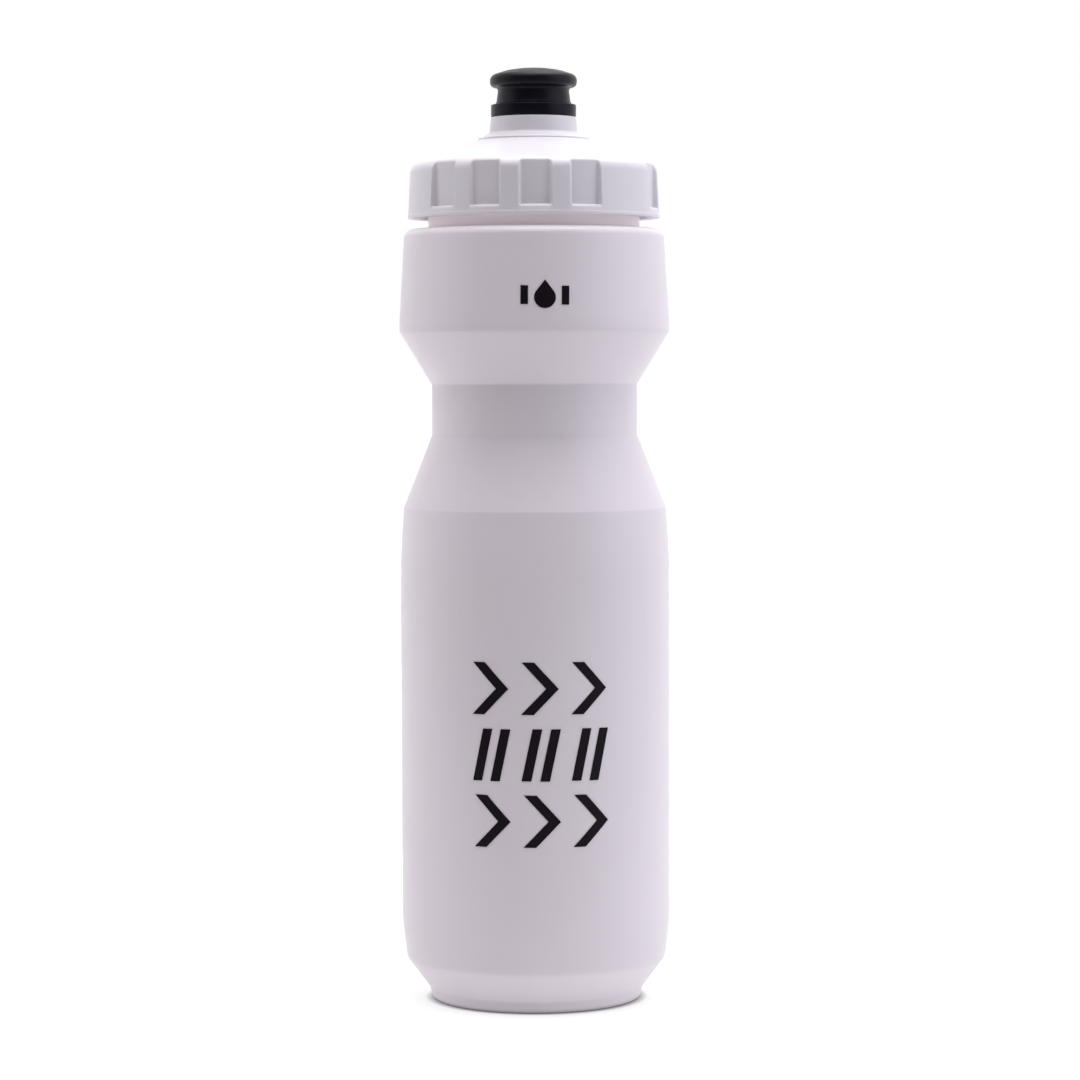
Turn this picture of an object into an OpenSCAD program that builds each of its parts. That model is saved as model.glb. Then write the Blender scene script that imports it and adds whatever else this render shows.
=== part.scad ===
// Squeeze water bottle for a bicycle: a blown body with a waist groove, a screw cap, and a
// push-pull nozzle that slides in the cap's tower and closes on a fixed post.
// Millimetres. The origin is the middle of the foot, +Z is up and -Y is the front.

/* [Bottle] */
// Diameter of the main body, which a bottle cage holds
body_d = 74; // [73:0.25:75]
// Diameter of the upper bulge at its widest
bulge_d = 74.1; // [73.5:0.1:75]
// Diameter of the waist groove
waist_d = 56.4; // [54:0.2:60]
// Height of the waist's straight stretch
waist_h = 14; // [10:1:18]
// Height of the shoulder that the neck stands on
shoulder_z = 212.25; // [205:0.25:225]
// Thickness of the blown side wall
side_wall = 1.1; // [0.8:0.1:1.4]

/* [Neck] */
// Outer diameter of the neck
neck_d = 58; // [57:0.25:58.2]
// Height of the neck above the shoulder
neck_h = 15.15; // [14.95:0.05:15.35]
// Rise of the thread in one turn
thread_lead = 10; // [9.6:0.1:10.4]

/* [Cap] */
// Diameter of the cap at its lower rim
cap_d = 69.3; // [69:0.1:70]
// Depth of the grip pockets
pocket_depth = 1.25; // [0.65:0.1:1.55]
// Diameter of the tower's bore, which the stem slides in
bore_d = 18; // [17.5:0.1:18.5]

/* [Nozzle] */
// Diameter of the mouthpiece's flange
flange_d = 24; // [23:0.1:25.4]
// Diameter of the drinking hole
hole_d = 6.6; // [5.6:0.1:7.4]
// How far the nozzle pulls up
nozzle_stroke = 8; // [6:0.5:8]

/* [Print] */
// Thickness of the printed ink
ink = 0.1; // [0.06:0.01:0.12]

/* [Hidden] */
$fn = 96;
arc_step = 6;       // degrees between the points of a rounded corner

// Bottle: radii and heights
body_r = body_d / 2;
bulge_r = bulge_d / 2;
waist_r = waist_d / 2;
base_wall = 1.6;
base_rise = 5.5;                            // how far the middle of the base is pushed up
foot_r = body_r - 8.1;
foot_h = 3.2;
bulge_z = shoulder_z - 27.95;                 // lower edge of the upper bulge
waist_top_z = bulge_z - 14.5;
waist_foot_z = waist_top_z - waist_h;
body_top_z = waist_foot_z - 20;             // upper edge of the main body
bulge_wide_z = bulge_z + 3;
shoulder_r = bulge_r - 1.5;

// Neck and thread
neck_r = neck_d / 2;
neck_wall = 1.8;
rim_z = shoulder_z + neck_h;
thread_starts = 2;
thread_turns = 0.65;                        // length of each start
thread_depth = 1.5;
thread_root_w = 2.6;
thread_crest_w = 1.2;
thread_embed = 0.5;                         // how far a ridge reaches into its wall
thread_fade = 0.12;                         // share of the ridge over which its ends run out
neck_thread_z = shoulder_z + 4.95;
thread_gap = 2;                             // the cap's ridge lies this far below the neck's

// Cap
cap_r = cap_d / 2;
skirt_z = shoulder_z + 2.95;
cap_in_r = neck_r + 2;
gasket_t = 1.5;
seat_z = rim_z + gasket_t;                  // underside of the cap's top, where the gasket lies
dome_edge_z = seat_z + 0.9;
dome_top_z = dome_edge_z + 6.8;
step_r = 15.2;                              // where the dome meets the step round the tower
dome_wall = 1.9;
dome_slope = (dome_top_z - dome_edge_z) / (cap_r - 0.8 - step_r);
tower_top_z = dome_top_z + 6.35;
tower_r = 11.7;
bore_r = bore_d / 2;
lip_r = bore_r - 1.7;                       // the lip at the top of the bore stops the piston
lip_h = 2.3;
sleeve_z = seat_z - 8.2;                    // lower end of the tower's bore
sleeve_r = bore_r + 1.6;
cap_thread_z = skirt_z + 1.8;
cap_thread_phase = (cap_thread_z - neck_thread_z + thread_gap) * 360 / thread_lead;
pocket_groups = 3;
pocket_row = [-1.5:1.5];                    // places of a group's four pockets, in pitches
pocket_pitch = 23.5;
pocket_angle = 14;
group_turn = -10.9;                         // from the front to the middle of a group
ledge_bevel = 0.55;
pocket_z = skirt_z + 2.6;
pocket_r = cap_r - 0.5 - pocket_depth;

// Nozzle, pushed down
run = 0.1;                                  // radial clearance of a running fit
collar_z = tower_top_z + 0.1;
collar_h = 3.3;
grip_z = collar_z + collar_h;               // lower end of the soft mouthpiece
top_z = grip_z + 10.1;                      // top of the bottle
core_top_z = grip_z + 4.1;
core_r = lip_r + 1.1;
stem_r = lip_r - run;
stem_bore_r = stem_r - 1.6;
piston_top_z = tower_top_z - lip_h - nozzle_stroke - 0.1;
piston_foot_z = sleeve_z + 3.7;
ring_r = 1;                                 // section radius of the O-ring
ring_z = (piston_top_z + piston_foot_z) / 2;
ring_mid_r = bore_r - 0.03 - ring_r;
hole_r = hole_d / 2;

// Print
print_turn = 2.4;                           // degrees from the front to the middle of the print
print_tilt = -0.8;
print_mid_z = 71;
row_pitch = 17.8;
column_pitch = 21;                          // degrees
mark_w = 10;
mark_h = 14;
stroke = 2.6;
badge_turn = 4.6;
badge_z = shoulder_z - 18.25;

// ---- outlines ----

function unit(v) = v / norm(v);
function xy(c) = [c.x, c.y];
function spun(v, a) = [v.x * cos(a) - v.y * sin(a), v.x * sin(a) + v.y * cos(a)];
function left_of(a, b) = spun(unit(xy(b) - xy(a)), 90);

// The points of an arc of radius r that rounds corner p between its neighbours a and b.
function corner_arc(a, p, b, r) =
    let (u = unit(a - p), v = unit(b - p), half = acos(u * v) / 2)
    let (start = p + u * r / tan(half), centre = p + unit(u + v) * r / sin(half))
    let (sweep = (180 - 2 * half) * sign(cross(-u, v)))
    let (steps = max(2, ceil(abs(sweep) / arc_step)))
    [for (i = [0:steps]) centre + spun(start - centre, sweep * i / steps)];

// A closed outline from corners [x, y, radius].
function rounded(c) = [
    for (i = [0:len(c) - 1])
        let (a = c[(i + len(c) - 1) % len(c)], b = c[(i + 1) % len(c)])
        each c[i][2] > 0 ? corner_arc(xy(a), xy(c[i]), xy(b), c[i][2]) : [xy(c[i])]
];

// The corners of an open outline moved to its left by the wall thickness of each stretch.
// A corner is [x, y, radius, wall of the stretch that follows it].
function inner_corners(c) = [
    for (i = [0:len(c) - 1])
        let (n = len(c) - 1, before = max(i - 1, 0), at = min(i, n - 1))
        let (n1 = left_of(c[before], c[before + 1]), n2 = left_of(c[at], c[at + 1]))
        let (t1 = c[before][3], t2 = c[i][3], k = n1 * n2)
        let (move = k > 0.9999 ? t2 * n2 : ((t1 - t2 * k) * n1 + (t2 - t1 * k) * n2) / (1 - k * k))
        let (bend = -t2 * sign(cross(n1, n2)))
        [c[i].x + move.x, c[i].y + move.y, c[i][2] == 0 ? 0 : max(c[i][2] + bend, 0.3)]
];

function reversed(list) = [for (i = [len(list) - 1:-1:0]) list[i]];

module turned(corners) {
    rotate_extrude() polygon(rounded(corners));
}

// ---- bottle ----

bottle_corners = [
    [0, base_rise, 0, base_wall],
    [17, base_rise, 5, base_wall],
    [23.5, 0, 2, base_wall],
    [foot_r, 0, 2, base_wall],
    [foot_r + 0.5, foot_h, 2, side_wall],
    [body_r - 1.25, 11.6, 3, side_wall],
    [body_r, 22, 40, side_wall],
    [body_r, body_top_z - 14, 150, side_wall],
    [body_r - 0.9, body_top_z, 1.5, side_wall],
    [waist_r, waist_foot_z, 2, side_wall],
    [waist_r, waist_top_z, 1.2, side_wall],
    [bulge_r, bulge_z, 2.2, side_wall],
    [bulge_r, bulge_wide_z, 50, side_wall],
    [shoulder_r, shoulder_z, 2.4, side_wall],
    [neck_r, shoulder_z, 0.8, neck_wall],
    [neck_r, rim_z, 0.5, neck_wall],
];

// One start of a thread: a ridge wound round a wall of radius wall_r, from height z and angle
// phase. A positive depth stands outwards and a negative one inwards.
module thread_ridge(wall_r, depth, z, phase) {
    steps = ceil(360 * thread_turns / arc_step);
    root_r = wall_r - sign(depth) * thread_embed;
    function crest_r(s) =
        root_r + (wall_r + depth - root_r) * max(0.02, min(1, min(s, 1 - s) / thread_fade));
    points = [
        for (i = [0:steps])
            let (s = i / steps, a = phase + 360 * thread_turns * s)
            let (up = z + thread_lead * thread_turns * s, crest = crest_r(s))
            for (q = [[root_r, -thread_root_w], [crest, -thread_crest_w],
                      [crest, thread_crest_w], [root_r, thread_root_w]])
                [q.x * cos(a), q.x * sin(a), up + q.y / 2]
    ];
    last = 4 * steps;
    sides = [
        for (i = [0:4:last - 4], j = [0:3])
            let (k = (j + 1) % 4)
            each [[i + j, i + k, i + k + 4], [i + j, i + k + 4, i + j + 4]]
    ];
    faces = concat([[0, 3, 2], [0, 2, 1]], sides,
                   [[last, last + 1, last + 2], [last, last + 2, last + 3]]);
    polyhedron(points, depth < 0 ? [for (f = faces) reversed(f)] : faces);
}

module bottle_body() color("white") {
    turned(concat(bottle_corners, reversed(inner_corners(bottle_corners))));
    for (i = [0:thread_starts - 1])
        thread_ridge(neck_r, thread_depth, neck_thread_z, i * 360 / thread_starts);
}

// ---- print ----

module chevron(w, h, t) {
    polygon([[-w / 2, -h / 2], [t * 1.3 - w / 2, -h / 2], [w / 2, 0],
             [t * 1.3 - w / 2, h / 2], [-w / 2, h / 2], [w / 2 - t * 1.3, 0]]);
}

module slash(w, h, t) {
    polygon([[-w / 2, -h / 2], [t - w / 2, -h / 2], [w / 2, h / 2], [w / 2 - t, h / 2]]);
}

module two_slashes() {
    for (side = [-1, 1])
        translate([side * mark_w / 4, 0])
            slash(mark_w / 2 + 0.4, mark_h, stroke);
}

module drop(r, h) {
    polygon([[0, h - r], for (a = [150:12:390]) [r * cos(a), r * sin(a)]]);
}

// Turns a flat mark towards the front at an angle and a height, thick enough to cut the skin.
module facing(turn, z, tilt = 0) {
    rotate([0, 0, turn])
        translate([0, 0, z])
            rotate([90, 0, 0])
                translate([0, 0, body_r - 8])
                    linear_extrude(12)
                        rotate(tilt)
                            children();
}

module front_print() color("black") intersection() {
    for (row = [-1:1], column = [-1:1])
        facing(print_turn + column * column_pitch + row * print_tilt / 2, print_mid_z + row * row_pitch,
               print_tilt)
            if (row == 0) two_slashes();
            else chevron(mark_w, mark_h, stroke);
    difference() {
        cylinder(h = body_top_z - 15, r = body_r + ink);
        translate([0, 0, -1]) cylinder(h = body_top_z, r = body_r);
    }
}

module badge() {
    translate([0, -1]) drop(2.9, 7.6);
    for (side = [-1, 1])
        translate([side * 5.5, -0.4])
            square([2, 5], center = true);
}

// The upper bulge's cone, grown outwards.
module bulge_cone(grow) {
    translate([0, 0, bulge_wide_z])
        cylinder(h = shoulder_z - bulge_wide_z, r1 = bulge_r + grow, r2 = shoulder_r + grow);
}

module shoulder_print() color("black") intersection() {
    facing(badge_turn, badge_z, print_tilt) badge();
    difference() {
        bulge_cone(ink);
        bulge_cone(0);
    }
}

// ---- cap ----

module cap_gasket() color("gainsboro")
    turned([[neck_r - 2.1, rim_z, 0.3], [neck_r + 1.7, rim_z, 0.3],
            [neck_r + 1.7, seat_z, 0], [neck_r - 2.1, seat_z, 0]]);

cap_corners = [
    [cap_in_r, skirt_z, 0.4],
    [cap_r, skirt_z, 0.5],
    [cap_r, skirt_z + 0.8, 0.2],
    [cap_r - 0.12, skirt_z + 1, 0],
    [cap_r - 0.8, dome_edge_z, 3.6],
    [step_r, dome_top_z, 0],
    [step_r, dome_top_z + 0.5, 0.2],
    [step_r - 1.3, dome_top_z + 0.8, 1],
    [tower_r + 0.4, dome_top_z + 2, 1],
    [tower_r, tower_top_z, 0.4],
    [lip_r, tower_top_z, 0.3],
    [lip_r, tower_top_z - lip_h, 0],
    [bore_r, tower_top_z - lip_h, 0],
    [bore_r, sleeve_z, 0],
    [sleeve_r, sleeve_z, 0.3],
    [sleeve_r, dome_top_z - dome_wall, 1.2],
    [neck_r - 3.6, dome_top_z - dome_wall - dome_slope * (neck_r - 3.6 - step_r), 0.6],
    [neck_r - 3.6, rim_z - 2.3, 0.3],
    [neck_r - 2.4, rim_z - 2.3, 0.3],
    [neck_r - 2.4, seat_z, 0.2],
    [cap_in_r, seat_z, 0.2],
];

// The pockets' ledges slope down to the skirt over their outer edge.
module grip_pockets() {
    bevel_r = cap_r - 0.2 - ledge_bevel;
    out_r = cap_r + 1;
    for (group = [0:pocket_groups - 1], place = pocket_row)
        rotate(group * 360 / pocket_groups + place * pocket_pitch + group_turn - 90 - pocket_angle / 2)
            rotate_extrude(angle = pocket_angle)
                polygon([[pocket_r, pocket_z], [bevel_r, pocket_z], [out_r, pocket_z - (out_r - bevel_r)],
                         [out_r, dome_top_z], [pocket_r, dome_top_z]]);
}

module screw_cap() color("white") {
    difference() {
        turned(cap_corners);
        grip_pockets();
    }
    for (i = [0:thread_starts - 1])
        thread_ridge(cap_in_r, -thread_depth - 0.1, cap_thread_z,
                     cap_thread_phase + i * 360 / thread_starts);
}

// The insert that closes the foot of the tower. Water passes between its three arms, and the
// head of its post fills the drinking hole when the nozzle is down.
module plug_post() color("white") {
    window_r = bore_r - 1.6;
    ring_h = 2.9;
    post_r = 2.3;
    head_r = hole_r - run;
    head_z = grip_z + 5.5;
    turned([[window_r, sleeve_z - 1.2, 0.2], [sleeve_r, sleeve_z - 1.2, 0.3], [sleeve_r, sleeve_z, 0],
            [bore_r, sleeve_z, 0], [bore_r, sleeve_z + ring_h, 0.3], [window_r, sleeve_z + ring_h, 0.3]]);
    for (a = [0:120:240])
        rotate([0, 0, a])
            translate([0, -1.1, sleeve_z - 1.2])
                cube([window_r + 0.5, 2.2, ring_h]);
    turned([[0, sleeve_z - 1.2, 0], [post_r, sleeve_z - 1.2, 0.3], [post_r, head_z - 1, 0],
            [head_r, head_z, 0.2], [head_r, top_z - 0.9, 0.6], [0, top_z - 0.6, 0]]);
}

// ---- nozzle ----

module nozzle_stem() color("dimgray") {
    piston_r = bore_r - run;
    groove_r = ring_mid_r - ring_r - 0.02;
    groove_h = 2 * ring_r + 0.4;
    turned([[stem_bore_r, piston_foot_z, 0.3], [piston_r, piston_foot_z, 0.4],
            [piston_r, ring_z - groove_h / 2, 0.2], [groove_r, ring_z - groove_h / 2, 0],
            [groove_r, ring_z + groove_h / 2, 0], [piston_r, ring_z + groove_h / 2, 0.2],
            [piston_r, piston_top_z, 0.4], [stem_r, piston_top_z, 0],
            [stem_r, core_top_z - 1, 0.3], [stem_bore_r, core_top_z - 1, 0.3]]);
}

module stem_o_ring() color("black")
    translate([0, 0, ring_z])
        rotate_extrude()
            translate([ring_mid_r, 0])
                circle(ring_r);

module nozzle_collar() color("black")
    turned([[stem_r, collar_z, 0.2], [tower_r, collar_z, 0.3], [tower_r, grip_z, 0.3],
            [core_r, grip_z, 0], [core_r, core_top_z, 0], [stem_r, core_top_z, 0]]);

module mouthpiece() color("black")
    turned([[core_r, grip_z, 0], [10.5, grip_z, 0.2], [10.15, grip_z + 0.9, 1.5],
            [9.65, grip_z + 4.6, 0.55], [flange_d / 2 - 0.15, grip_z + 4.85, 1.6],
            [flange_d / 2, grip_z + 7.9, 1.9], [7.6, grip_z + 9.4, 14],
            [hole_r, top_z, 0.7], [hole_r, grip_z + 5.9, 0.3],
            [stem_r - 0.6, core_top_z + 0.6, 0.5], [stem_r - 0.6, core_top_z, 0],
            [core_r, core_top_z, 0]]);

bottle_body();
front_print();
shoulder_print();
cap_gasket();
screw_cap();
plug_post();
nozzle_stem();
stem_o_ring();
nozzle_collar();
mouthpiece();
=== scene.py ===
import math

import bmesh
import bpy
from mathutils import Matrix, Vector


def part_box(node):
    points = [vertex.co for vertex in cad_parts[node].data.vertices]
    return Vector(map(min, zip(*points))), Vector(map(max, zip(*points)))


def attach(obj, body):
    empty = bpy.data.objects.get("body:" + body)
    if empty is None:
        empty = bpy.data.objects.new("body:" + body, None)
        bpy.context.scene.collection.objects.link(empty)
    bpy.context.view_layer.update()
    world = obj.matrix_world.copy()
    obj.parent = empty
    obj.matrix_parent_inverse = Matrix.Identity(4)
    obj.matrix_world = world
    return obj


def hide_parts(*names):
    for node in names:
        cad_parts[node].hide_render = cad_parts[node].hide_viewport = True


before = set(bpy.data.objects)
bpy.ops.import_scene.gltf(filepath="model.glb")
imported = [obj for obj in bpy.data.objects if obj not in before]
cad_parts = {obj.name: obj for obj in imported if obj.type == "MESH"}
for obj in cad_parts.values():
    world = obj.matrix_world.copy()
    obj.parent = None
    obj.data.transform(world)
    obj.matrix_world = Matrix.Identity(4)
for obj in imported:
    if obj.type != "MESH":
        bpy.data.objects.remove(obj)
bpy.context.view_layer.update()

# Sizes are in millimetres, as in the CAD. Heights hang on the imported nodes' own boxes.
MM = 0.001


def low(node):
    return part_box(node)[0][2] / MM


def high(node):
    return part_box(node)[1][2] / MM


# Bottle
RIM = high("bottle_body")       # top of the neck
SKIRT = low("screw_cap")        # lower rim of the cap
SHOULDER = SKIRT - 2.95         # the shoulder that the neck stands on
BULGE = SHOULDER - 27.95        # lower edge of the upper bulge
WAIST_TOP = BULGE - 14.5
WAIST_FOOT = WAIST_TOP - 14
BODY_TOP = WAIST_FOOT - 20
FOOT_R = 28.9
BODY_R = 37.0
WAIST_R = 28.2
BULGE_R = 37.05
BULGE_TAPER = 1.5               # how much narrower the bulge is at the shoulder
NECK_R = 29.0
BASE_WALL = 1.6
SIDE_WALL = 1.1
NECK_WALL = 1.8

# Thread
STARTS = 2
TURNS = 0.65                    # length of each start
LEAD = 10.0                     # rise of the thread in one turn
FADE = 0.12                     # share of a ridge over which its ends run out
NECK_THREAD = SHOULDER + 4.95
CAP_THREAD = SKIRT + 1.8
CAP_PHASE = (CAP_THREAD - NECK_THREAD + 2) * 2 * math.pi / LEAD

# Cap
SEAT = RIM + 1.5                # underside of the cap's top, where the gasket lies
DOME_EDGE = SEAT + 0.9
DOME_TOP = DOME_EDGE + 6.8
TOWER = high("screw_cap")       # top of the tower
SLEEVE = SEAT - 8.2             # lower end of the tower's bore
CAP_R = 34.65
CAP_IN = NECK_R + 2
STEP_R = 15.2
TOWER_R = 11.7
BORE_R = 9.0
SLEEVE_R = BORE_R + 1.6
LIP_R = 7.3
LIP = TOWER - 2.3               # underside of the lip that stops the piston
DOME_WALL = 1.9
DOME_SLOPE = (DOME_TOP - DOME_EDGE) / (CAP_R - 0.8 - STEP_R)

# Grip pockets
POCKET_Z = SKIRT + 2.6
POCKET_FLOOR = CAP_R - 0.5 - 1.25
POCKET_HALF = math.radians(7.0)
POCKET_SIDE = 0.026             # turn over which a pocket's side falls to its floor
POCKETS = [math.radians(group * 120 + place * 23.5 - 10.9 - 90)
           for group in range(3) for place in (-1.5, -0.5, 0.5, 1.5)]

# Nozzle
COLLAR = low("nozzle_collar")
GRIP = COLLAR + 3.3             # lower end of the soft mouthpiece
TOP = high("mouthpiece")        # top of the bottle
CORE_TOP = GRIP + 4.1
CORE_R = LIP_R + 1.1
STEM_R = 7.2
HOLE_R = 3.3
FLANGE_R = 12.0
PISTON_R = BORE_R - 0.1
PISTON_TOP = LIP - 8.1
PISTON_FOOT = SLEEVE + 3.7
RING_Z = (PISTON_TOP + PISTON_FOOT) / 2


# ---- outlines ----

def smooth(x):
    """Eases from 0 to 1."""
    x = max(0.0, min(1.0, x))
    return x * x * (3 - 2 * x)


def apart(a, b):
    """The angle between two directions round the axis, from 0 to pi."""
    return abs((a - b + math.pi) % (2 * math.pi) - math.pi)


def corner_arc(a, p, b, radius):
    """Points of an arc that rounds corner p between its neighbours a and b."""
    a, p, b = Vector(a[:2]), Vector(p[:2]), Vector(b[:2])
    u, v = (a - p).normalized(), (b - p).normalized()
    half = math.acos(max(-1.0, min(1.0, u.dot(v)))) / 2
    reach = min(radius / math.tan(half), (a - p).length * 0.49, (b - p).length * 0.49)
    radius = reach * math.tan(half)
    start = p + u * reach
    centre = p + (u + v).normalized() * radius / math.sin(half)
    sweep = math.pi - 2 * half
    if u.x * v.y - u.y * v.x > 0:
        sweep = -sweep
    step = 5 if radius > 1 else 15
    steps = max(3, math.ceil(math.degrees(abs(sweep)) / step))
    d = start - centre
    out = []
    for i in range(steps + 1):
        t = sweep * i / steps
        out.append((centre.x + d.x * math.cos(t) - d.y * math.sin(t),
                    centre.y + d.x * math.sin(t) + d.y * math.cos(t)))
    return out


def rounded(corners, closed=True):
    """An outline of (r, z) points from corners (r, z, radius)."""
    out = []
    n = len(corners)
    for i, c in enumerate(corners):
        is_end = not closed and i in (0, n - 1)
        if c[2] > 0 and not is_end:
            out += corner_arc(corners[i - 1], c, corners[(i + 1) % n], c[2])
        else:
            out.append((c[0], c[1]))
    return out


def split(a, b, parts):
    """Points from a up to b, without b."""
    return [(a[0] + (b[0] - a[0]) * t / parts, a[1] + (b[1] - a[1]) * t / parts) for t in range(parts)]


def divided(outline, longest, closed=True):
    """The outline with no stretch longer than the length given."""
    out = []
    n = len(outline)
    for i in range(n if closed else n - 1):
        a, b = outline[i], outline[(i + 1) % n]
        out += split(a, b, max(1, math.ceil(math.dist(a, b) / longest)))
    return out if closed else out + [outline[-1]]


def walled(corners, walls):
    """The corners of the inner skin, each stretch moved in by its own wall."""
    out = []
    last = len(corners) - 1
    for i, corner in enumerate(corners):
        before = min(max(i - 1, 0), last - 1)
        normals = []
        for k in (before, min(i, last - 1)):
            d = Vector(corners[k + 1][:2]) - Vector(corners[k][:2])
            normals.append(Vector((-d.y, d.x)).normalized())
        n1, n2 = normals
        t1, t2 = walls[before], walls[i]
        k = n1.dot(n2)
        if k > 0.9999:
            move = n2 * t2
        else:
            move = ((t1 - t2 * k) * n1 + (t2 - t1 * k) * n2) / (1 - k * k)
        turn = n1.x * n2.y - n1.y * n2.x
        bend = 0 if abs(turn) < 1e-9 else (-t2 if turn > 0 else t2)
        radius = 0 if corner[2] == 0 else max(corner[2] + bend, 0.3)
        out.append((corner[0] + move.x, corner[1] + move.y, radius))
    return out


def fine_wall(outline, radius, step=0.4):
    """The outline with close points up its straight wall of one radius, which carries a thread."""
    out = []
    for a, b in zip(outline, outline[1:]):
        on_wall = abs(a[0] - radius) < 0.01 and abs(b[0] - radius) < 0.01
        out += split(a, b, max(1, math.ceil(abs(b[1] - a[1]) / step)) if on_wall else 1)
    return out + [outline[-1]]


# ---- meshes ----

def piece(name, body, replaced, bm, material, sharp=38.0):
    """Makes the object, rides it on its body and lets it stand for its CAD node."""
    bmesh.ops.recalc_face_normals(bm, faces=bm.faces)
    mesh = bpy.data.meshes.new(name)
    bm.to_mesh(mesh)
    bm.free()
    mesh.polygons.foreach_set("use_smooth", [True] * len(mesh.polygons))
    mesh.set_sharp_from_angle(angle=math.radians(sharp))
    obj = bpy.data.objects.new(name, mesh)
    bpy.context.scene.collection.objects.link(obj)
    obj.data.materials.append(material.mat)
    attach(obj, body)
    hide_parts(replaced)
    return obj


def lathe(bm, outline, columns=192, shape=None, angles=None):
    """Turns an outline of (r, z) points about Z. A point on the axis closes the surface there, and
    otherwise the outline closes on itself. shape(angle, r, z, i) moves a point to a new (r, z)."""
    angles = angles or [2 * math.pi * j / columns for j in range(columns)]
    rings = []
    for i, (r, z) in enumerate(outline):
        if r < 1e-6:
            rings.append([bm.verts.new((0, 0, z * MM))])
            continue
        ring = []
        for a in angles:
            tr, tz = shape(a, r, z, i) if shape else (r, z)
            ring.append(bm.verts.new((tr * math.cos(a) * MM, tr * math.sin(a) * MM, tz * MM)))
        rings.append(ring)
    pairs = list(zip(rings, rings[1:]))
    if len(rings[0]) > 1:
        pairs.append((rings[-1], rings[0]))
    n = len(angles)
    for a, b in pairs:
        for j in range(n):
            k = (j + 1) % n
            if len(a) == 1 and len(b) > 1:
                bm.faces.new((a[0], b[j], b[k]))
            elif len(b) == 1 and len(a) > 1:
                bm.faces.new((a[j], b[0], a[k]))
            elif len(a) > 1:
                bm.faces.new((a[j], b[j], b[k], a[k]))


def turned(name, body, replaced, corners, material, columns=160, longest=4.0):
    """A round piece from the corners of its section."""
    bm = bmesh.new()
    lathe(bm, divided(rounded(corners), longest), columns)
    return piece(name, body, replaced, bm, material)


def ridge(angle, z, wall_z, phase=0.0):
    """How far a thread stands out of its wall at a point, from 0 to 1."""
    best = 0.0
    for start in range(STARTS):
        first = phase + start * 2 * math.pi / STARTS
        for lap in range(-1, 3):
            a = angle - first + lap * 2 * math.pi
            share = a / (2 * math.pi * TURNS)
            if not 0 <= share <= 1:
                continue
            off = abs(z - wall_z - LEAD * a / (2 * math.pi))
            flank = smooth((1.3 - off) / 0.7)
            best = max(best, flank * smooth(min(share, 1 - share) / FADE))
    return best


# ---- materials ----

class Nodes:
    """Builds a procedural material on object coordinates, in metres."""

    def __init__(self, name, roughness, **sockets):
        self.mat = bpy.data.materials.new(name)
        self.mat.use_nodes = True
        self.tree = self.mat.node_tree
        self.bsdf = self.tree.nodes["Principled BSDF"]
        self.bsdf.inputs["Roughness"].default_value = roughness
        for key, value in sockets.items():
            self.bsdf.inputs[key.replace("_", " ")].default_value = value
        self.coord = self.add("ShaderNodeTexCoord").outputs["Object"]
        self.bump = None

    def add(self, kind, **settings):
        node = self.tree.nodes.new(kind)
        for key, value in settings.items():
            setattr(node, key, value)
        return node

    def link(self, a, b):
        self.tree.links.new(a, b)

    def drive(self, output, socket):
        self.link(output, self.bsdf.inputs[socket])

    def noise(self, scale, detail=3.0, stretch=(1, 1, 1), distortion=0.0):
        place = self.add("ShaderNodeMapping")
        place.inputs["Scale"].default_value = stretch
        self.link(self.coord, place.inputs["Vector"])
        node = self.add("ShaderNodeTexNoise")
        node.inputs["Scale"].default_value = scale
        node.inputs["Detail"].default_value = detail
        node.inputs["Distortion"].default_value = distortion
        self.link(place.outputs["Vector"], node.inputs["Vector"])
        return node.outputs["Fac"]

    def ranged(self, value, low_in, high_in, low_out, high_out):
        node = self.add("ShaderNodeMapRange")
        ends = {"From Min": low_in, "From Max": high_in, "To Min": low_out, "To Max": high_out}
        for key, number in ends.items():
            node.inputs[key].default_value = number
        self.link(value, node.inputs["Value"])
        return node.outputs["Result"]

    def colours(self, value, stops):
        ramp = self.add("ShaderNodeValToRGB")
        points = ramp.color_ramp.elements
        while len(points) < len(stops):
            points.new(0.5)
        for point, (at, colour) in zip(points, stops):
            point.position = at
            point.color = (*colour, 1)
        self.link(value, ramp.inputs["Fac"])
        return ramp.outputs["Color"]

    def bumped(self, height, distance):
        node = self.add("ShaderNodeBump")
        node.inputs["Distance"].default_value = distance
        self.link(height, node.inputs["Height"])
        if self.bump:
            self.link(self.bump, node.inputs["Normal"])
        self.bump = node.outputs["Normal"]
        self.drive(self.bump, "Normal")


def shade(colour, k):
    return tuple(min(1.0, c * k) for c in colour)


def plastic(name, colour, rough, spread=0.06, variation=0.03, wave=0.00004, grain=0.000008, **sockets):
    """Moulded or blown plastic: slow waves in the wall, a fine grain and uneven gloss."""
    m = Nodes(name, rough, **sockets)
    cloud = m.noise(26, 4.0, (1, 1, 0.45), 0.4)
    stops = [(0.25, shade(colour, 1 - variation)), (0.5, colour), (0.78, shade(colour, 1 + variation))]
    m.drive(m.colours(cloud, stops), "Base Color")
    m.drive(m.ranged(m.noise(140, 5.0), 0.3, 0.7, rough - spread, rough + spread), "Roughness")
    m.bumped(m.noise(38, 2.0, (1, 1, 0.5)), wave)
    m.bumped(m.noise(2600, 2.0), grain)
    return m


def soft(weight, radius, scale):
    """Sockets of a plastic that light goes into."""
    return {"Subsurface_Weight": weight, "Subsurface_Radius": radius, "Subsurface_Scale": scale}


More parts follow.
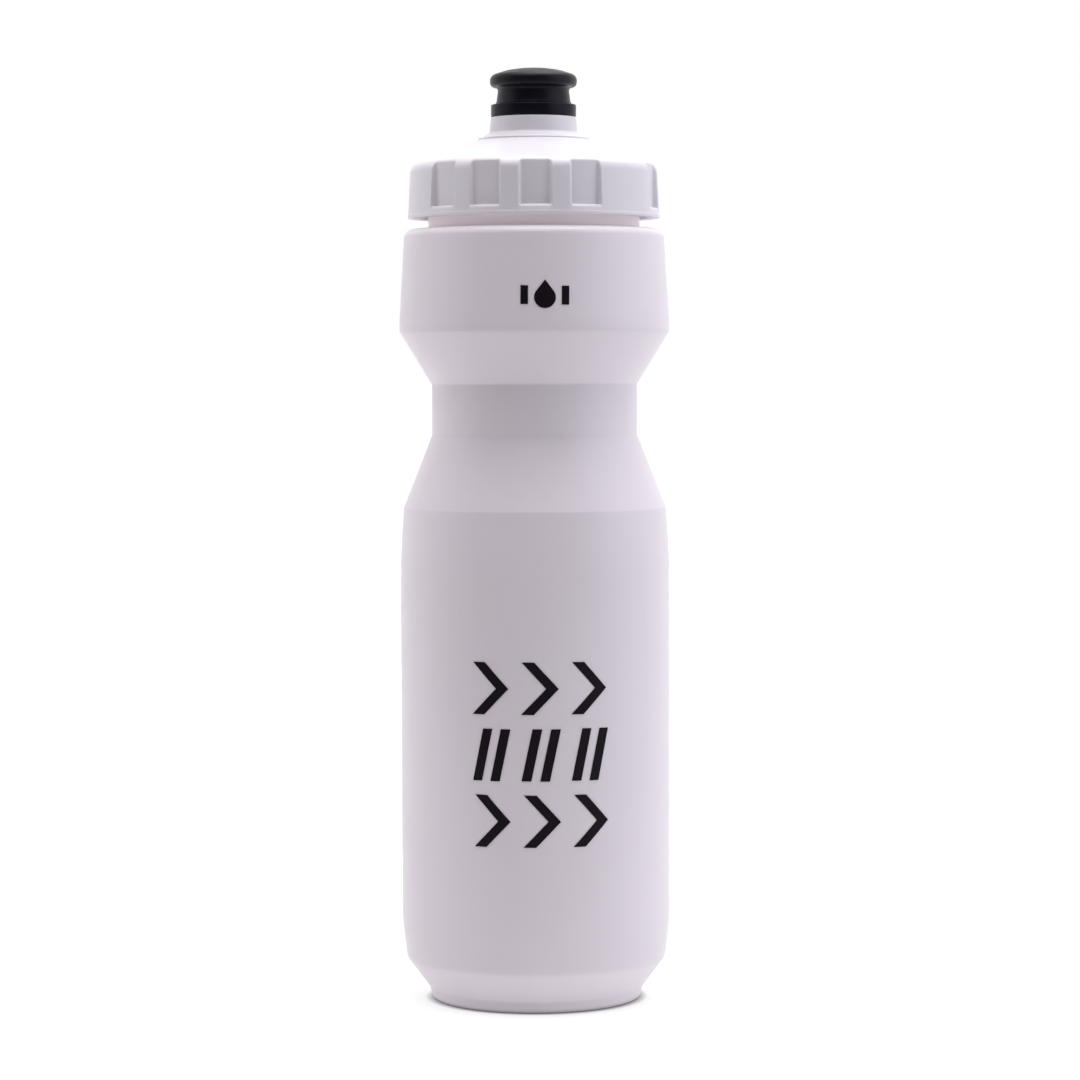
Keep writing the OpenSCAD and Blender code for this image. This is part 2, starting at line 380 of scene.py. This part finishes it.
def painted_neck_glow(m, colour, strength):
    """A painted glow on the neck, standing in for daylight through its thin wall: none below the shoulder,
    all of it above.
    """
    m.bsdf.inputs["Emission Color"].default_value = (*colour, 1)
    place = m.add("ShaderNodeSeparateXYZ")
    m.link(m.coord, place.inputs["Vector"])
    rise = m.ranged(place.outputs["Z"], (SHOULDER - 0.6) * MM, (SHOULDER + 0.6) * MM, 0, strength)
    m.drive(rise, "Emission Strength")


ldpe = plastic("ldpe_white", (0.725, 0.650, 0.722), 0.40, wave=0.00010, grain=0.000010,
               **soft(0.22, (1.0, 0.85, 0.9), 0.004))
# painted glow on the bottle's neck above the shoulder, which brightens the gap under the cap
painted_neck_glow(ldpe, (1.0, 0.90, 0.86), 0.185)
cap_white = plastic("pp_white", (0.662, 0.624, 0.684), 0.36, grain=0.000012,
                    **soft(0.15, (1.0, 0.9, 0.9), 0.003))
plug_white = plastic("pp_plug", (0.78, 0.75, 0.78), 0.34, wave=0.00003,
                     **soft(0.12, (1.0, 0.9, 0.9), 0.002))
silicone = plastic("silicone", (0.62, 0.62, 0.60), 0.50, wave=0.00003,
                   **soft(0.3, (1.0, 1.0, 1.0), 0.002))
ink = plastic("black_ink", (0.0075, 0.0045, 0.0085), 0.45, spread=0.08, variation=0.25, wave=0.00001,
              grain=0.000010, Specular_IOR_Level=0.10)
tpe = plastic("black_tpe", (0.0045, 0.0040, 0.0085), 0.36, spread=0.07, variation=0.18, wave=0.00003,
              grain=0.000010, Specular_IOR_Level=0.17)
hard_black = plastic("black_pp", (0.0045, 0.0040, 0.0085), 0.30, spread=0.05, variation=0.15,
                     wave=0.00003, Specular_IOR_Level=0.13)
rubber = plastic("nitrile", (0.012, 0.012, 0.012), 0.5, variation=0.2, wave=0.00002)


# ---- bottle ----

# Each corner is (r, z, radius, wall of the stretch that follows it).
BOTTLE = [
    (0, 5.5, 0, BASE_WALL),
    (17, 5.5, 5, BASE_WALL),
    (23.5, 0, 2, BASE_WALL),
    (FOOT_R, 0, 2, BASE_WALL),
    (FOOT_R + 0.5, 3.2, 2, SIDE_WALL),
    (BODY_R - 1.25, 11.6, 3, SIDE_WALL),
    (BODY_R, 22, 40, SIDE_WALL),
    (BODY_R, BODY_TOP - 14, 150, SIDE_WALL),
    (BODY_R - 0.9, BODY_TOP, 1.5, SIDE_WALL),
    (WAIST_R, WAIST_FOOT, 2, SIDE_WALL),
    (WAIST_R, WAIST_TOP, 1.2, SIDE_WALL),
    (BULGE_R, BULGE, 2.2, SIDE_WALL),
    (BULGE_R, BULGE + 3, 50, SIDE_WALL),
    (BULGE_R - BULGE_TAPER, SHOULDER, 2.4, SIDE_WALL),
    (NECK_R, SHOULDER, 0.8, NECK_WALL),
    (NECK_R, RIM, 0.5, NECK_WALL),
]
PARTING = (0.0, math.pi)    # the mould's two halves meet at the sides


def seamed_angles(columns):
    """Even angles round the axis, with more of them close to the parting line."""
    out = {round(2 * math.pi * j / columns, 9) for j in range(columns)}
    for seam in PARTING:
        out |= {round((seam + k * 0.0035) % (2 * math.pi), 9) for k in range(-4, 5)}
    return sorted(out)


def blown(angle, r, z):
    """The outer skin: a faint line where the mould parts, a slight sag between, and the thread."""
    if z > SHOULDER + 1:
        return r + 1.5 * ridge(angle, z, NECK_THREAD), z
    lift = 0.0
    if 2 < z < SHOULDER - 1 and r > 20:
        lift = 0.07 * smooth(1 - min(apart(angle, seam) for seam in PARTING) * r / 0.3)
    sag = 0.025 * math.sin(2 * angle + 0.06 * z) * smooth((z - 12) / 20) * smooth((BODY_TOP - z) / 20)
    return r + lift - abs(sag), z


def make_bottle():
    corners = [corner[:3] for corner in BOTTLE]
    walls = [corner[3] for corner in BOTTLE]
    outer = fine_wall(divided(rounded(corners, False), 2.4, False), NECK_R)
    inner = divided(rounded(walled(corners, walls), False), 4, False)

    def shape(a, r, z, i):
        return blown(a, r, z) if i < len(outer) else (r, z)

    bm = bmesh.new()
    lathe(bm, outer + inner[::-1], shape=shape, angles=seamed_angles(216))
    return piece("bottle_shell", "bottle", "bottle_body", bm, ldpe)


make_bottle()


# ---- print ----

INK = 0.1               # how far the ink stands out of the skin
INK_ROOT = 0.04         # how far it reaches in
INK_STRIP = 0.7         # width of the strips that bend a mark round the skin


def cut_mark(outline, tilt):
    """A flat mark, tilted and cut into upright strips."""
    c, s = math.cos(tilt), math.sin(tilt)
    flat = bmesh.new()
    verts = [flat.verts.new((x * c - y * s, x * s + y * c, 0)) for x, y in outline]
    flat.faces.new(verts)
    widths = [v.co.x for v in verts]
    x = math.floor(min(widths)) + 0.5
    while x < max(widths):
        bmesh.ops.bisect_plane(flat, geom=flat.verts[:] + flat.edges[:] + flat.faces[:],
                               plane_co=(x, 0, 0), plane_no=(1, 0, 0))
        x += INK_STRIP
    bmesh.ops.triangulate(flat, faces=flat.faces)
    flat.verts.index_update()
    return flat


def film(name, replaced, marks, radius_at, tilt):
    """Ink on a round skin. Each mark is (turn in degrees, height, outline)."""
    bm = bmesh.new()
    for turn, height, outline in marks:
        flat = cut_mark(outline, math.radians(tilt))
        c, s = math.cos(math.radians(turn)), math.sin(math.radians(turn))
        places = {}
        for layer, stand in ((0, -INK_ROOT), (1, INK)):
            for v in flat.verts:
                x, z = v.co.x, height + v.co.y
                y = -math.sqrt((radius_at(z) + stand) ** 2 - x ** 2)
                places[layer, v.index] = bm.verts.new(((x * c - y * s) * MM, (x * s + y * c) * MM, z * MM))
        for face in flat.faces:
            corners = [v.index for v in face.verts]
            bm.faces.new([places[1, i] for i in corners])
            bm.faces.new([places[0, i] for i in reversed(corners)])
        for edge in flat.edges:
            if len(edge.link_faces) == 1:
                i, j = edge.verts[0].index, edge.verts[1].index
                bm.faces.new([places[0, i], places[0, j], places[1, j], places[1, i]])
        flat.free()
    return piece(name, "bottle", replaced, bm, ink, sharp=30)


def chevron(w, h, t):
    return [(-w / 2, -h / 2), (t * 1.3 - w / 2, -h / 2), (w / 2, 0),
            (t * 1.3 - w / 2, h / 2), (-w / 2, h / 2), (w / 2 - t * 1.3, 0)]


def slash(x, w, h, t):
    return [(x - w / 2, -h / 2), (x + t - w / 2, -h / 2), (x + w / 2, h / 2), (x + w / 2 - t, h / 2)]


def bar(x, y, w, h):
    return [(x - w / 2, y - h / 2), (x + w / 2, y - h / 2), (x + w / 2, y + h / 2), (x - w / 2, y + h / 2)]


def drop(r, h, y):
    arc = [math.radians(a) for a in range(150, 391, 6)]
    return [(0, h - r + y)] + [(r * math.cos(a), r * math.sin(a) + y) for a in arc]


TILT = -0.8             # degrees that the print leans
MARK_W, MARK_H, STROKE = 10.0, 14.0, 2.6


def front_marks():
    """Three rows of three: chevrons, pairs of slashes, chevrons."""
    marks = []
    for row in (-1, 0, 1):
        for column in (-1, 0, 1):
            turn = 2.4 + column * 21 + row * TILT / 2
            height = 71 + row * 17.8
            if row:
                marks.append((turn, height, chevron(MARK_W, MARK_H, STROKE)))
            else:
                marks += [(turn, height, slash(side * MARK_W / 4, MARK_W / 2 + 0.4, MARK_H, STROKE))
                          for side in (-1, 1)]
    return marks


def bulge_radius(z):
    share = (z - BULGE - 3) / (SHOULDER - BULGE - 3)
    return BULGE_R - BULGE_TAPER * share


film("front_ink", "front_print", front_marks(), lambda z: BODY_R, TILT)
badge = [(4.6, SHOULDER - 18.25, mark)
         for mark in (drop(2.9, 7.6, -1), bar(-5.5, -0.4, 2, 5), bar(5.5, -0.4, 2, 5))]
film("shoulder_ink", "shoulder_print", badge, bulge_radius, TILT)


# ---- cap ----

def pocket(angle):
    """How far into a grip pocket an angle lies: 0 on a land, 1 on a pocket's floor."""
    off = min(apart(angle, centre) for centre in POCKETS)
    return smooth((POCKET_HALF - off) / POCKET_SIDE + 0.5)


def cap_angles():
    """Columns close together at the sides of each pocket, and further apart elsewhere."""
    edges = [centre + side * POCKET_HALF for centre in POCKETS for side in (-1, 1)]
    clear = POCKET_SIDE / 2 + 0.004
    even = {round(2 * math.pi * j / 120, 9) for j in range(120)}
    out = {a for a in even if all(apart(a, edge) >= clear for edge in edges)}
    for edge in edges:
        out |= {round((edge + j * POCKET_SIDE / 8) % (2 * math.pi), 9) for j in range(-5, 6)}
    return sorted(out)


def cap_outline():
    """The cap's section in four stretches: the rim below the pockets, the land between them, the
    dome inside them, and all the rest from the dome's step round to the rim."""
    side = rounded([
        (CAP_IN, SKIRT, 0), (CAP_R, SKIRT, 0.5), (CAP_R, SKIRT + 0.8, 0.2),
        (CAP_R - 0.12, SKIRT + 1.0, 0.1), (CAP_R - 0.8, DOME_EDGE, 3.6), (STEP_R, DOME_TOP, 0)], False)
    rim = [p for p in side[1:] if p[1] < POCKET_Z - 0.7]
    dome = [p for p in side if p[1] > POCKET_Z and p[0] > STEP_R + 0.01]
    edge = [p for p in dome if p[0] > POCKET_FLOOR - 0.2]
    inner = dome[len(edge):]
    under = DOME_TOP - DOME_WALL - DOME_SLOPE * (NECK_R - 3.6 - STEP_R)
    rest = rounded([
        (*inner[-1], 0), (STEP_R, DOME_TOP, 0.15), (STEP_R, DOME_TOP + 0.5, 0.2),
        (STEP_R - 1.3, DOME_TOP + 0.8, 1.0), (TOWER_R + 0.4, DOME_TOP + 2.0, 1.0),
        (TOWER_R, TOWER, 0.4), (LIP_R, TOWER, 0.3), (LIP_R, LIP, 0.05), (BORE_R, LIP, 0.05),
        (BORE_R, SLEEVE, 0.1), (SLEEVE_R, SLEEVE, 0.3), (SLEEVE_R, DOME_TOP - DOME_WALL, 1.2),
        (NECK_R - 3.6, under, 0.6), (NECK_R - 3.6, RIM - 2.3, 0.3), (NECK_R - 2.4, RIM - 2.3, 0.3),
        (NECK_R - 2.4, SEAT, 0.3), (CAP_IN, SEAT, 0.8), (CAP_IN, SKIRT, 0.4), (CAP_R, SKIRT, 0.5)],
        False)[1:-1]
    rest = fine_wall(divided(rest, 3.0, False), CAP_IN)
    return rim, edge, inner, rest


def land_and_floor(foot, edge, inner):
    """The outline of a land and, with as many points, that of a pocket, from the ledge to the dome."""
    top = edge[0]

    def on_land(z):
        return foot[0] + (top[0] - foot[0]) * (z - foot[1]) / (top[1] - foot[1]), z

    ledge = [(on_land(POCKET_Z - 0.6)[0], -0.6), (on_land(POCKET_Z)[0] - 0.12, -0.32),
             (on_land(POCKET_Z)[0] - 0.45, -0.05), (POCKET_FLOOR + 0.45, 0.02),
             (POCKET_FLOOR + 0.1, 0.12), (POCKET_FLOOR, 0.45)]
    first = POCKET_Z + ledge[-1][1]
    rows = 9
    land = [on_land(POCKET_Z - 0.6 + 1.05 * k / 5) for k in range(6)]
    land += [on_land(first + (top[1] - first) * k / rows) for k in range(1, rows)] + edge
    a, b = edge[-1], inner[0]
    brim_z = b[1] + (a[1] - b[1]) * (POCKET_FLOOR - b[0]) / (a[0] - b[0])
    brim = [(POCKET_FLOOR - 0.02, brim_z - 0.16), (POCKET_FLOOR - 0.08, brim_z - 0.04),
            (POCKET_FLOOR - 0.18, brim_z + 0.05)]
    rows = len(land) - len(ledge) - len(brim)
    floor = [(r, POCKET_Z + z) for r, z in ledge]
    floor += [(POCKET_FLOOR, first + (brim_z - 0.3 - first) * k / rows) for k in range(1, rows + 1)]
    return land, floor + brim


def make_cap():
    rim, edge, inner, rest = cap_outline()
    land, floor = land_and_floor(rim[-1], edge, inner)

    def shape(a, r, z, i):
        k = i - len(rim)
        if 0 <= k < len(floor):
            p = pocket(a)
            return r + (floor[k][0] - r) * p, z + (floor[k][1] - z) * p
        if abs(r - CAP_IN) < 0.01 and SKIRT + 0.4 < z < SEAT - 1:
            return r - 1.6 * ridge(a, z, CAP_THREAD, CAP_PHASE), z
        return r, z

    bm = bmesh.new()
    lathe(bm, rim + land + inner + rest, shape=shape, angles=cap_angles())
    return piece("cap_shell", "cap", "screw_cap", bm, cap_white, sharp=32)


make_cap()

turned("gasket_ring", "gasket", "cap_gasket", [
    (NECK_R - 2.1, RIM, 0.3), (NECK_R + 1.7, RIM, 0.3), (NECK_R + 1.7, SEAT, 0.15),
    (NECK_R - 2.1, SEAT, 0.15)], silicone)


# ---- plug and nozzle ----

def plug_arm(turn, length, low_z, height):
    """One arm of the plug, with rounded edges, from the post to the ring."""
    arm = bmesh.new()
    bmesh.ops.create_cube(arm, size=1.0)
    for v in arm.verts:
        v.co = Vector((v.co.x * (length - 1.0) + (length + 1.4) / 2 + 0.3, v.co.y * 2.2,
                       (v.co.z + 0.5) * height + low_z)) * MM
    bmesh.ops.bevel(arm, geom=arm.edges[:], offset=0.3 * MM, segments=3, affect="EDGES")
    bmesh.ops.rotate(arm, verts=arm.verts, cent=(0, 0, 0), matrix=Matrix.Rotation(turn, 3, "Z"))
    return arm


def make_plug():
    window = BORE_R - 1.6
    ring_h = 2.9
    base = SLEEVE - 1.2
    head_z = GRIP + 5.5
    post_r = 2.3
    head_r = HOLE_R - 0.1
    bm = bmesh.new()
    lathe(bm, divided(rounded([
        (window, base, 0.2), (SLEEVE_R, base, 0.3), (SLEEVE_R, SLEEVE, 0.05), (BORE_R, SLEEVE, 0.05),
        (BORE_R, SLEEVE + ring_h, 0.3), (window, SLEEVE + ring_h, 0.3)]), 3), 120)
    lathe(bm, divided(rounded([
        (0, base, 0), (post_r, base, 0.3), (post_r, head_z - 1, 0.4), (head_r, head_z, 0.2),
        (head_r, TOP - 0.9, 0.6), (0, TOP - 0.6, 0)], False), 3, False), 64)
    for k in range(3):
        arm = plug_arm(k * 2 * math.pi / 3, window, base, ring_h)
        mesh = bpy.data.meshes.new("arm")
        arm.to_mesh(mesh)
        arm.free()
        bm.from_mesh(mesh)
        bpy.data.meshes.remove(mesh)
    return piece("plug", "cap", "plug_post", bm, plug_white)


def make_o_ring():
    centre_r = BORE_R - 1.03
    bm = bmesh.new()
    lathe(bm, [(centre_r + math.cos(t * math.pi / 16), RING_Z + math.sin(t * math.pi / 16))
               for t in range(32)], 128)
    return piece("seal_ring", "nozzle", "stem_o_ring", bm, rubber)


make_plug()

groove_r = BORE_R - 2.05
groove_half = 1.2
turned("stem_tube", "nozzle", "nozzle_stem", [
    (STEM_R - 1.6, PISTON_FOOT, 0.3), (PISTON_R, PISTON_FOOT, 0.4),
    (PISTON_R, RING_Z - groove_half, 0.2), (groove_r, RING_Z - groove_half, 0.1),
    (groove_r, RING_Z + groove_half, 0.1), (PISTON_R, RING_Z + groove_half, 0.2),
    (PISTON_R, PISTON_TOP, 0.4), (STEM_R, PISTON_TOP, 0.3), (STEM_R, CORE_TOP - 1, 0.3),
    (STEM_R - 1.6, CORE_TOP - 1, 0.3)], hard_black)

make_o_ring()

turned("collar_ring", "nozzle", "nozzle_collar", [
    (STEM_R, COLLAR, 0.2), (TOWER_R, COLLAR, 0.3), (TOWER_R, GRIP, 0.35), (CORE_R, GRIP, 0.05),
    (CORE_R, CORE_TOP, 0.05), (STEM_R, CORE_TOP, 0.05)], hard_black, columns=192)

turned("mouthpiece_tpe", "nozzle", "mouthpiece", [
    (CORE_R, GRIP, 0), (10.5, GRIP, 0.2), (10.15, GRIP + 0.9, 1.5), (9.65, GRIP + 4.6, 1.0),
    (FLANGE_R - 0.15, GRIP + 4.85, 1.7), (FLANGE_R, GRIP + 7.9, 1.9), (7.6, GRIP + 9.35, 14),
    (HOLE_R, TOP, 0.7), (HOLE_R, GRIP + 5.9, 0.3), (STEM_R - 0.6, CORE_TOP + 0.6, 0.5),
    (STEM_R - 0.6, CORE_TOP, 0), (CORE_R, CORE_TOP, 0)], tpe, columns=192, longest=0.8)


# ---- stage, light and camera: metres ----

FAR = 30.0
FLOOR_GREY = 0.24
FLOOR_GLOW = 0.74
FLAG_Y = -6.0
APRON_Y = -0.16


def level(x0, x1, y0, y1, z):
    return [(x0, y0, z), (x1, y0, z), (x1, y1, z), (x0, y1, z)]


def card(name, corners, grey):
    """A flat card of the stage, and its material."""
    mesh = bpy.data.meshes.new(name)
    mesh.from_pydata(corners, [], [(0, 1, 2, 3)])
    obj = bpy.data.objects.new(name, mesh)
    bpy.context.scene.collection.objects.link(obj)
    m = Nodes(name, 0.9, Emission_Color=(1, 1, 1, 1), Emission_Strength=0.0)
    colour = (grey, grey, grey)
    m.drive(m.colours(m.noise(1.5, 2.0), [(0.3, shade(colour, 0.99)), (0.7, colour)]), "Base Color")
    obj.data.materials.append(m.mat)
    return obj, m


def make_floor():
    """The floor glows a little, so that the bottle throws almost no shadow on it. Only under the foot does
    the glow
    stop: a painted contact shadow, a thin dark line where the foot stands."""
    _, paper = card("floor", level(-FAR, FAR, -FAR, FAR, 0), FLOOR_GREY)
    reach = paper.add("ShaderNodeVectorMath", operation="LENGTH")
    paper.link(paper.coord, reach.inputs[0])
    # painted contact shadow: no glow inside the foot's edge, rising to full glow about 2 mm beyond it
    paper.drive(paper.ranged(reach.outputs["Value"], (FOOT_R - 1.4) * MM, (FOOT_R + 2.1) * MM,
                             0, FLOOR_GLOW), "Emission Strength")


def make_flags():
    """Two dark cards behind and below the camera keep the bottle's front darker than its sides."""
    left, right, height = 2.4 * FLAG_Y, -1.05 * FLAG_Y, -3 * FLAG_Y
    flag, _ = card("flag", [(left, FLAG_Y, 0), (right, FLAG_Y, 0), (right, FLAG_Y, height),
                            (left, FLAG_Y, height)], 0.02)
    flag.visible_camera = False
    apron, _ = card("apron", level(-FAR, FAR, -FAR, APRON_Y, 0.004), 0.42)
    apron.visible_camera = False
    apron.visible_shadow = False


def lamp(name, kind, power):
    """A lamp and its data, pointing straight down."""
    data = bpy.data.lights.new(name, kind)
    data.energy = power
    obj = bpy.data.objects.new(name, data)
    bpy.context.scene.collection.objects.link(obj)
    return obj, data


def area_light(name, place, target, size, power, colour=(1, 1, 1)):
    obj, data = lamp(name, "AREA", power)
    data.shape = "RECTANGLE"
    data.size, data.size_y = size
    data.color = colour
    obj.location = place
    obj.rotation_mode = "QUATERNION"
    obj.rotation_quaternion = (Vector(target) - Vector(place)).to_track_quat("-Z", "Y")


def make_camera(place, pitch, roll, lens):
    data = bpy.data.cameras.new("camera")
    data.sensor_width = 36
    data.lens = lens
    obj = bpy.data.objects.new("camera", data)
    bpy.context.scene.collection.objects.link(obj)
    obj.location = place
    obj.rotation_euler = (math.radians(pitch), math.radians(roll), 0)
    bpy.context.scene.camera = obj


make_floor()
make_flags()

area_light("overhead", (0.12, -0.06, 1.05), (0.05, -0.02, 0), (1.4, 0.7), 7.3)
_, sky = lamp("sky", "SUN", 1.6)
sky.angle = math.radians(60)
area_light("right", (0.75, -0.25, 0.3), (0, 0, 0.14), (0.4, 0.7), 0.55, (0.42, 0.68, 1.0))

world = bpy.data.worlds.new("studio")
world.use_nodes = True
background = world.node_tree.nodes["Background"]
background.inputs["Color"].default_value = (1, 1, 1, 1)
background.inputs["Strength"].default_value = 1.0
bpy.context.scene.world = world

make_camera((0.00155, -0.993, 0.17556), 90 - 2.815, 0.19, 120)
bpy.context.scene.view_settings.view_transform = "Standard"
